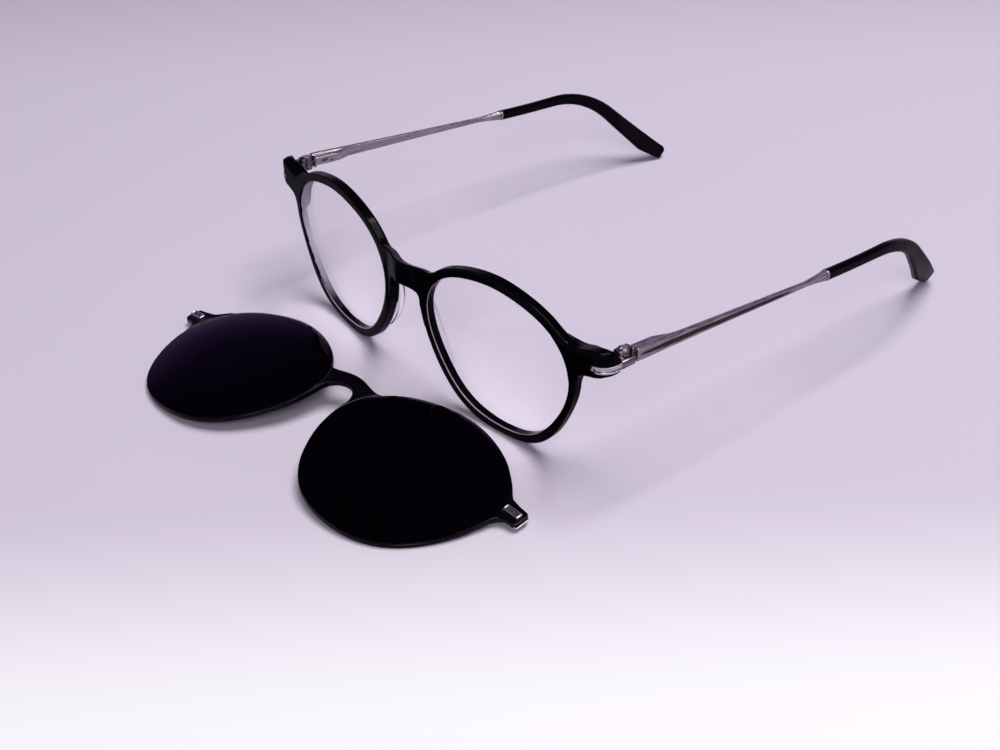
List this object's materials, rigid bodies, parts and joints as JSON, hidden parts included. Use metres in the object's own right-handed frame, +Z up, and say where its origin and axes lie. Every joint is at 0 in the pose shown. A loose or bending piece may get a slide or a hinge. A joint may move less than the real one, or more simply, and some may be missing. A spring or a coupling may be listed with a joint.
{
  "type": "clip-on eyeglasses",
  "caption": "Full-rim eyeglasses with an acetate front and metal spring temples, and a magnetic sun clip lying on the table before them.",
  "frame": {"origin": "on the table, under the middle of the bridge, at the depth of the front face of the lens centres", "axes": "+X to the right of the picture, the left side of a wearer; +Y from the front towards the temple tips; +Z up from the table"},
  "size_m": [0.1422, 0.2054, 0.0452],
  "materials": {
    "acetate_black": "polished",
    "crystal_pad": "polished clear",
    "demo_lens": "polished clear",
    "gunmetal": "satin plated",
    "bright_steel": "polished",
    "spring_steel": "plain",
    "magnet_plated": "plated",
    "inlay_brown": "satin",
    "sleeve_black": "polished",
    "sun_lens_dark": "polished dark",
    "clip_edge": "polished"
  },
  "bodies": {
    "frame": {"frame_front": "acetate_black", "lens_right": "demo_lens", "lens_left": "demo_lens", "nose_pad_right": "crystal_pad", "nose_pad_left": "crystal_pad", "bracket_right": "gunmetal", "bracket_left": "gunmetal", "bracket_pins": "bright_steel", "lug_magnet_right": "magnet_plated", "lug_magnet_left": "magnet_plated", "hinge_screws": "bright_steel"},
    "slider_right": {"hinge_slider_right": "gunmetal", "spring_stop_right": "spring_steel"},
    "slider_left": {"hinge_slider_left": "gunmetal", "spring_stop_left": "spring_steel"},
    "temple_right": {"temple_arm_right": "gunmetal", "temple_inlay_right": "inlay_brown", "sleeve_ring_right": "bright_steel", "temple_sleeve_right": "sleeve_black", "hinge_spring_right": "spring_steel"},
    "temple_left": {"temple_arm_left": "gunmetal", "temple_inlay_left": "inlay_brown", "sleeve_ring_left": "bright_steel", "temple_sleeve_left": "sleeve_black", "hinge_spring_left": "spring_steel"},
    "clip": {"clip_carrier": "clip_edge", "sun_lens_right": "sun_lens_dark", "sun_lens_left": "sun_lens_dark", "clip_cup_right": "bright_steel", "clip_cup_left": "bright_steel", "clip_magnet_right": "magnet_plated", "clip_magnet_left": "magnet_plated"}
  },
  "joints": [
    {"name": "fold_right", "type": "hinge", "parent": "frame", "child": "slider_right", "pos_m": [0.0687, 0.0116, 0.0355], "axis": [0, 0, 1], "range_deg": [0, 82]},
    {"name": "fold_left", "type": "hinge", "parent": "frame", "child": "slider_left", "pos_m": [-0.0687, 0.0116, 0.0355], "axis": [0, 0, -1], "range_deg": [0, 86]},
    {"name": "flex_right", "type": "slide", "parent": "slider_right", "child": "temple_right", "axis": [-0.0348, 0.996, -0.0819], "range_m": [0, 0.0012], "stiffness_N_per_m": 1500, "springref_m": -0.001, "deforming": ["hinge_spring_right"]},
    {"name": "flex_left", "type": "slide", "parent": "slider_left", "child": "temple_left", "axis": [0.0348, 0.996, -0.0819], "range_m": [0, 0.0012], "stiffness_N_per_m": 1500, "springref_m": -0.001, "deforming": ["hinge_spring_left"]},
    {"name": "clip_lift", "type": "slide", "parent": "frame", "child": "clip", "axis": [0, 0, 1], "range_m": [0, 0.06]}
  ]
}
